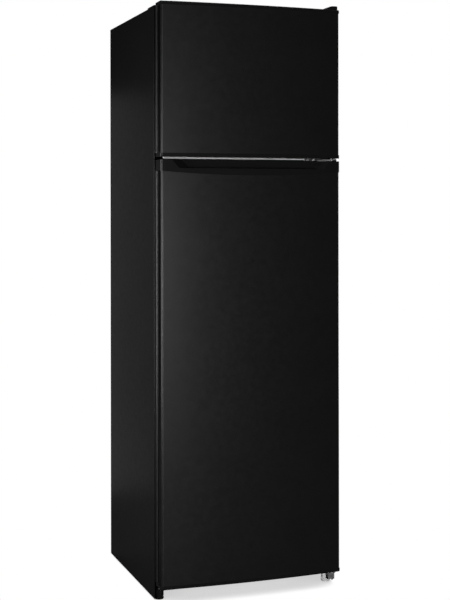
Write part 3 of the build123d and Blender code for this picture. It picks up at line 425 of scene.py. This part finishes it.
def plate(shape, where, width, height, thick, corner, ease):
    """Add a plate with rounded corners and an eased front edge."""
    def outline(inset, level):
        """Rounded rectangle at one level."""
        radius = corner - inset
        points = []
        for quarter, (across, up) in enumerate(((1, 1), (-1, 1), (-1, -1), (1, -1))):
            for step in range(6):
                angle = math.radians(90 * quarter + 18 * step)
                points.append((across * (width / 2 - corner) + radius * math.cos(angle),
                               up * (height / 2 - corner) + radius * math.sin(angle), level))
        return ring(shape, where, points)

    part_eased = ease * 0.3
    loops = [outline(0, 0), outline(0, thick - ease), outline(part_eased, thick - part_eased),
             outline(ease, thick)]
    join(shape, loops)
    shape.faces.new(loops[0])
    shape.faces.new(loops[-1])


def screw(shape, place, way, radius=SCREW_RADIUS):
    """Add a pan head with a cross recess, on a spot and facing a way."""
    where = seat(place, way) @ Matrix.Scale(radius / SCREW_RADIUS, 4)
    top, recess, taper = 2.5, 1.0, 0.6
    head = ((SCREW_RADIUS, 0), (SCREW_RADIUS, 0.9), (4.7, 1.6), (4.1, 2.15), (3.2, top))
    crown = turned(shape, where, head, steps=32, capped=False)
    arm, half = 2.4, 0.6
    cross = ((half, half), (half, arm), (-half, arm), (-half, half), (-arm, half), (-arm, -half),
             (-half, -half), (-half, -arm), (half, -arm), (half, -half), (arm, -half), (arm, half))
    rim = ring(shape, where, [(x, y, top) for x, y in cross])
    base = ring(shape, where, [(x * taper, y * taper, recess) for x, y in cross])
    join(shape, (rim, base))
    shape.faces.new(base)
    edges = [shape.edges.get((loop[here - 1], loop[here]))
             for loop in (crown, rim) for here in range(len(loop))]
    bmesh.ops.triangle_fill(shape, use_beauty=True, edges=edges)


def make_gasket(name, node, body):
    """Door gasket with a bellows waist and a round sealing lip, mitred at the corners."""
    low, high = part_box(node)
    widest = 7.0
    sides = ((0, 6.0), (0.5, 6.6), (1.6, 6.8), (2.8, 6.2), (3.6, 4.4), (4.2, 3.6), (5.0, 4.4), (5.6, 5.0),
             (6.2, 4.4), (6.8, 4.0), (7.4, 5.4), (8.2, 6.6), (9.4, widest), (10.1, 6.6), (10.5, 5.6))
    section = [(half, depth) for depth, half in sides] + [(-half, depth) for depth, half in reversed(sides)]
    shape = bmesh.new()
    loops = []
    for half, depth in section:
        grow = (half - widest) * MM
        left, right, bottom, top = low[0] - grow, high[0] + grow, low[2] - grow, high[2] + grow
        corners = ((left, bottom), (right, bottom), (right, top), (left, top))
        loops.append([shape.verts.new((x, low[1] + depth * MM, z)) for x, z in corners])
    join(shape, loops + loops[:1])
    add_piece(name, shape, "seal_rubber", body, replaces=node, smooth=50)


make_gasket("freezer_gasket", "freezer_door_seal", "freezer_door")
make_gasket("fridge_gasket", "fridge_door_seal", "fridge_door")


def make_feet():
    """Levelling feet with a rounded pad, a ribbed grip and a threaded stem."""
    rings = [(11.2, 0), (12.8, 0.5), (13.5, 1.8), (13.5, 6.5), (12.4, 7.6), (12.4, 9.0), ((13.4, 12.2), 10.4),
             ((13.4, 12.2), 30.4), (12.4, 31.8), (12.0, 33.2), (10.8, 34.0), (5.0, 34.0)]
    turns, pitch = 10, 1.55
    crest, root = (5.0, 34.6), (4.2, 35.4)
    for turn in range(turns):
        rings += [(radius, start + pitch * turn) for radius, start in (crest, root)]
    for node, finish in (("left_foot", "black_plastic"), ("right_foot", "pale_plastic")):
        low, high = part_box(node)
        middle = ((low[0] + high[0]) / 2 / MM, (low[1] + high[1]) / 2 / MM, 0)
        shape = bmesh.new()
        turned(shape, seat(middle, UP), rings)
        add_piece(node + "_turned", shape, slot_of[node], node, finish, node)


make_feet()


def make_grommets():
    """Waisted rubber grommets under the compressor's feet."""
    shape = bmesh.new()
    rings = ((9.2, 0), (10, 0.7), (10, 2.3), (8.4, 3.1), (7.8, 4.0), (8.4, 4.9), (10, 5.7), (10, 7.3),
             (9.2, 8))
    across, along = (-120, 40), (143.5, 227.5)
    for x in across:
        for y in along:
            turned(shape, seat((x, y, BASE_TOP), UP), rings)
    add_piece("rubber_grommets", shape, "black_rubber", replaces="compressor_grommets")


make_grommets()


def make_screws():
    """Cross head screws of the hinges and of the back panel."""
    middle_plate, top_plate, bottom_plate = -244.5, 1751, 38.2
    top_depth, bottom_across = -207, 236.7
    shape = bmesh.new()
    for x in (202.25, 222.75):
        screw(shape, (x, middle_plate, DIVIDER_LEVEL), FRONT)
    for x in (256.5, 271.5):
        screw(shape, (x, top_depth, top_plate), UP)
    for y in (-234, -217):
        screw(shape, (bottom_across, y, bottom_plate), DOWN)
    add_piece("cross_head_screws", shape, "zinc_steel", replaces="hinge_screws")
    edge, top_row = 262, 1722
    shape = bmesh.new()
    for x in (-edge, edge):
        for z in (300, 650, 1000, 1350, 1700):
            screw(shape, (x, BACK_FACE, z), BACK, SMALL_SCREW_RADIUS)
    for x in (-160, 0, 160):
        screw(shape, (x, BACK_FACE, top_row), BACK, SMALL_SCREW_RADIUS)
    add_piece("back_panel_screws", shape, "black_steel")


make_screws()


def make_plugs():
    """Plugs in the back panel's foaming holes."""
    shape = bmesh.new()
    rings = ((14, 0), (14, 0.7), (13.4, 1.5), (10, 1.7), (9.2, 1.2), (8.4, 0.8))
    across, levels = (-120, 120), (380, 1620)
    for x in across:
        for z in levels:
            turned(shape, seat((x, BACK_FACE, z), BACK), rings)
    add_piece("foam_plugs", shape, "black_plastic")


make_plugs()


def make_end_covers():
    """Cover that carries the divider's strip to the left edge, and a cap over the top trim's left end."""
    shape = bmesh.new()
    cover = seat((-255, DIVIDER_FACE, DIVIDER_LEVEL), FRONT)
    plate(shape, cover, width=10, height=26, thick=0.8, corner=1.5, ease=0.5)
    add_piece("divider_end_cover", shape, "grey_steel")
    shape = bmesh.new()
    cap = seat((-278.5, -208.5, TRIM_BASE), UP)
    plate(shape, cap, width=17, height=68, thick=4, corner=2.5, ease=1.2)
    add_piece("trim_end_cap", shape, "black_plastic")


make_end_covers()


def make_dial():
    """Numbers and ticks round the thermostat knob, and the pointer on the knob."""
    face = seat(DIAL_CENTRE, FRONT)
    number_radius, tick_radius = 23.4, 19.7
    numbers, ticks = 6, 11
    shape = bmesh.new()
    for number in range(numbers):
        angle = math.radians(2 * DIAL_SWING * number / (numbers - 1) - DIAL_SWING)
        letters = bpy.data.curves.new("number", "FONT")
        letters.body = str(number)
        letters.align_x = "CENTER"
        letters.align_y = "CENTER"
        letters.size = 5.5
        letters.extrude = 0.1
        holder = bpy.data.objects.new("number", letters)
        mesh = bpy.data.meshes.new_from_object(holder)
        place = (number_radius * math.sin(angle), number_radius * math.cos(angle), 0.05)
        mesh.transform(face @ Matrix.Translation(place))
        shape.from_mesh(mesh)
        bpy.data.objects.remove(holder)
        bpy.data.curves.remove(letters)
        bpy.data.meshes.remove(mesh)
    for tick in range(ticks):
        angle = math.radians(DIAL_SWING - 2 * DIAL_SWING * tick / (ticks - 1))
        mark = face @ Matrix.Rotation(angle, 4, "Z") @ Matrix.Translation((0, tick_radius, 0))
        plate(shape, mark, width=0.8, height=1.6, thick=0.15, corner=0.3, ease=0.08)
    bmesh.ops.remove_doubles(shape, verts=shape.verts, dist=MM / 1000)
    add_piece("dial_numbers", shape, "grey_plastic")
    shape = bmesh.new()
    pointer = seat((DIAL_CENTRE[0], -204.7, 1259), FRONT)
    plate(shape, pointer, width=1.6, height=7, thick=0.3, corner=0.7, ease=0.15)
    add_piece("knob_pointer", shape, "white_plastic", "thermostat_knob")


make_dial()


def make_bulb():
    """Small opal bulb and its ribbed holder, behind the lamp's lens."""
    shape = bmesh.new()
    socket = [(9, 0), (9, 2), ((8.4, 7.6), 3), ((8.4, 7.6), 18), (7, 19), (6.5, 20)]
    bulb = [(7.5, 22), (9.5, 26), (11, 32), (11.5, 40), (11, 48), (9.4, 54), (6.5, 58.4), (3, 60.4),
            (0.6, 60.8)]
    across, depth, bulb_level, holder_level = 40, -95.5, 1245, 1254
    turned(shape, seat((across, depth, bulb_level), RIGHT), socket + bulb)
    holder = seat((across, depth, holder_level), LEFT)
    plate(shape, holder, width=40, height=26, thick=3, corner=3, ease=1)
    add_piece("lamp_bulb", shape, "white_plastic")


make_bulb()


# Light and stage
def soft_light(name, place, target, width, height, power):
    """Rectangular soft light that faces a target."""
    lamp = bpy.data.lights.new(name, "AREA")
    lamp.shape = "RECTANGLE"
    lamp.size = width
    lamp.size_y = height
    lamp.energy = power
    holder = bpy.data.objects.new(name, lamp)
    holder.location = place
    aim = Vector(target) - Vector(place)
    holder.rotation_euler = aim.to_track_quat("-Z", "Y").to_euler()
    holder.visible_camera = False
    scene.collection.objects.link(holder)
    return holder


def keep_off(lamp, *names):
    """Keep a light off some CAD nodes, as a flag beside the lamp would."""
    shaded = bpy.data.collections.new(lamp.name + "_flag")
    for name in names:
        shaded.objects.link(nodes_of[name])
    lamp.light_linking.receiver_collection = shaded
    for item in shaded.collection_objects:
        item.light_linking.link_state = "EXCLUDE"


# Each light's place and target in metres, its width and height in metres and its power in watts
soft_light("left_light", (-1.35, -0.5, 0.95), (-0.29, -0.1, 0.92), 0.7, 1.1, 15.5)
soft_light("left_card", (-0.42, 1.0, 0.82), (-0.28, 0.52, 0.82), 0.37, 1.56, 0.23)
front = soft_light("front_light", (-1.1, -3.9, 0.82), (-0.1, -0.3, 0.85), 1.3, 1.2, 84)
soft_light("back_light", (0.8, 2.9, 0.85), (0.0, 0.28, 0.85), 1.9, 1.5, 28)
soft_light("right_light", (2.2, 0.7, 1.0), (0.29, 0.0, 0.9), 1.6, 1.4, 30)
soft_light("top_light", (0.3, 0.5, 3.6), (0.0, 0.05, 1.75), 1.2, 1.2, 40)
keep_off(front, "left_side_panel", "right_side_panel")


def light_path(tree, *kinds):
    """One where a ray is of any of these kinds, and nought elsewhere."""
    path = tree.nodes.new("ShaderNodeLightPath")
    total = path.outputs[kinds[0]]
    for kind in kinds[1:]:
        joined = tree.nodes.new("ShaderNodeMath")
        joined.operation = "MAXIMUM"
        tree.links.new(total, joined.inputs[0])
        tree.links.new(path.outputs[kind], joined.inputs[1])
        total = joined.outputs[0]
    return total


def make_world():
    """Even room, dark with a white ceiling in reflections, and white to the camera and through glass."""
    world = bpy.data.worlds.new("studio")
    scene.world = world
    world.use_nodes = True
    tree = world.node_tree
    tree.nodes.clear()
    out = tree.nodes.new("ShaderNodeOutputWorld")

    def even(strength):
        """White light of one strength from all round."""
        node = tree.nodes.new("ShaderNodeBackground")
        node.inputs["Color"].default_value = (1, 1, 1, 1)
        node.inputs["Strength"].default_value = strength
        return node.outputs[0]

    def choose(factor, other, this):
        """One light or another by a factor."""
        node = tree.nodes.new("ShaderNodeMixShader")
        for socket, value in zip(node.inputs, (factor, other, this)):
            tree.links.new(value, socket)
        return node.outputs[0]

    way = tree.nodes.new("ShaderNodeTexCoord")
    part = tree.nodes.new("ShaderNodeSeparateXYZ")
    tree.links.new(way.outputs["Generated"], part.inputs[0])
    overhead = tree.nodes.new("ShaderNodeMapRange")
    overhead.inputs["From Min"].default_value = CEILING_START
    overhead.inputs["From Max"].default_value = CEILING_FULL
    tree.links.new(part.outputs["Z"], overhead.inputs["Value"])
    reflected = choose(overhead.outputs["Result"], even(DARK_ROOM), even(1.0))
    room = choose(light_path(tree, "Is Glossy Ray"), even(ROOM), reflected)
    seen = light_path(tree, "Is Camera Ray", "Is Transmission Ray")
    tree.links.new(choose(seen, room, even(1.0)), out.inputs["Surface"])


make_world()


def make_floor():
    """Wide pale floor, white to the camera apart from the object's shadow."""
    half = 30.0
    mesh = bpy.data.meshes.new("floor")
    corners = [(-half, -half, 0), (half, -half, 0), (half, half, 0), (-half, half, 0)]
    mesh.from_pydata(corners, [], [(0, 1, 2, 3)])
    floor = bpy.data.objects.new("floor", mesh)
    scene.collection.objects.link(floor)
    paper = Shading("floor_paper")
    tree = paper.tree
    cloud = paper.spread(paper.noise(3, 4), 0, 1)
    paper.finish(Base_Color=paper.blend(cloud, grey(0.05), grey(0.055)), Roughness=0.9,
                 Specular_IOR_Level=0.0)
    shadow_reach, shadow_level = 0.12, 0.58
    near = paper.add("ShaderNodeAmbientOcclusion", Distance=shadow_reach)
    glow = paper.add("ShaderNodeEmission",
                     Strength=paper.spread(near.outputs["AO"], shadow_level, 1.0, 0.1, 0.5))
    seen = light_path(tree, "Is Camera Ray", "Is Transmission Ray")
    mix = tree.nodes.new("ShaderNodeMixShader")
    out = tree.nodes["Material Output"]
    tree.links.new(seen, mix.inputs[0])
    tree.links.new(paper.shader.outputs[0], mix.inputs[1])
    tree.links.new(glow.outputs[0], mix.inputs[2])
    tree.links.new(mix.outputs[0], out.inputs["Surface"])
    mesh.materials.append(paper.material)


make_floor()


def make_camera():
    """Level camera at the photograph's place, shifted down as its frame is."""
    lens = bpy.data.cameras.new("camera")
    lens.sensor_width = SENSOR
    lens.lens = FOCAL_PIXELS * SENSOR / IMAGE_HEIGHT
    lens.shift_y = (HORIZON_PIXEL - IMAGE_HEIGHT / 2) / IMAGE_HEIGHT
    camera = bpy.data.objects.new("camera", lens)
    camera.location = CAMERA_PLACE
    yaw = Matrix.Rotation(math.radians(-CAMERA_YAW), 4, "Z")
    level = Matrix.Rotation(math.radians(90), 4, "X")
    roll = Matrix.Rotation(math.radians(CAMERA_ROLL), 4, "Z")
    camera.rotation_euler = (yaw @ level @ roll).to_euler()
    scene.collection.objects.link(camera)
    scene.camera = camera


make_camera()
scene.view_settings.view_transform = "Standard"
